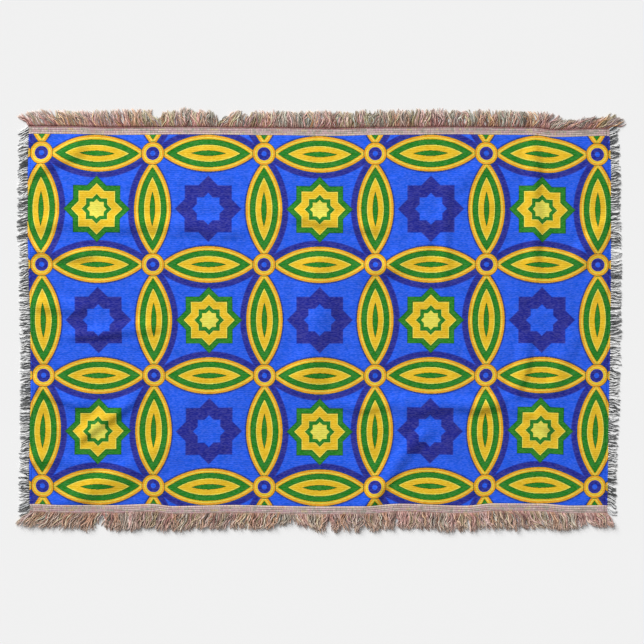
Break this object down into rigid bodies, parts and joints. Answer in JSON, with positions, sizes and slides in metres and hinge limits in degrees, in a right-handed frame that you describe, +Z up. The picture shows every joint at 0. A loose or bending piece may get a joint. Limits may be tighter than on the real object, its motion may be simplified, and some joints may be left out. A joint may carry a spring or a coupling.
{
  "type": "throw blanket",
  "caption": "Woven throw blanket laid out flat with soft creases, a ribbed heading with long fringe along two sides and a short fringe along the other two.",
  "frame": {"origin": "on the surface that the throw lies on, under the middle of its overall box", "axes": "+X along the long side, +Y along the short side, +Z up out of the cloth"},
  "size_m": [1.374, 0.9695, 0.0078],
  "materials": {
    "panel_cloth": "matt jacquard weave",
    "heading_cloth": "matt ribbed weave",
    "edge_yarn": "matt yarn"
  },
  "bodies": {
    "root": {"woven_panel": "panel_cloth", "top_heading": "heading_cloth", "bottom_heading": "heading_cloth", "left_edge": "edge_yarn", "right_edge": "edge_yarn"}
  },
  "joints": []
}
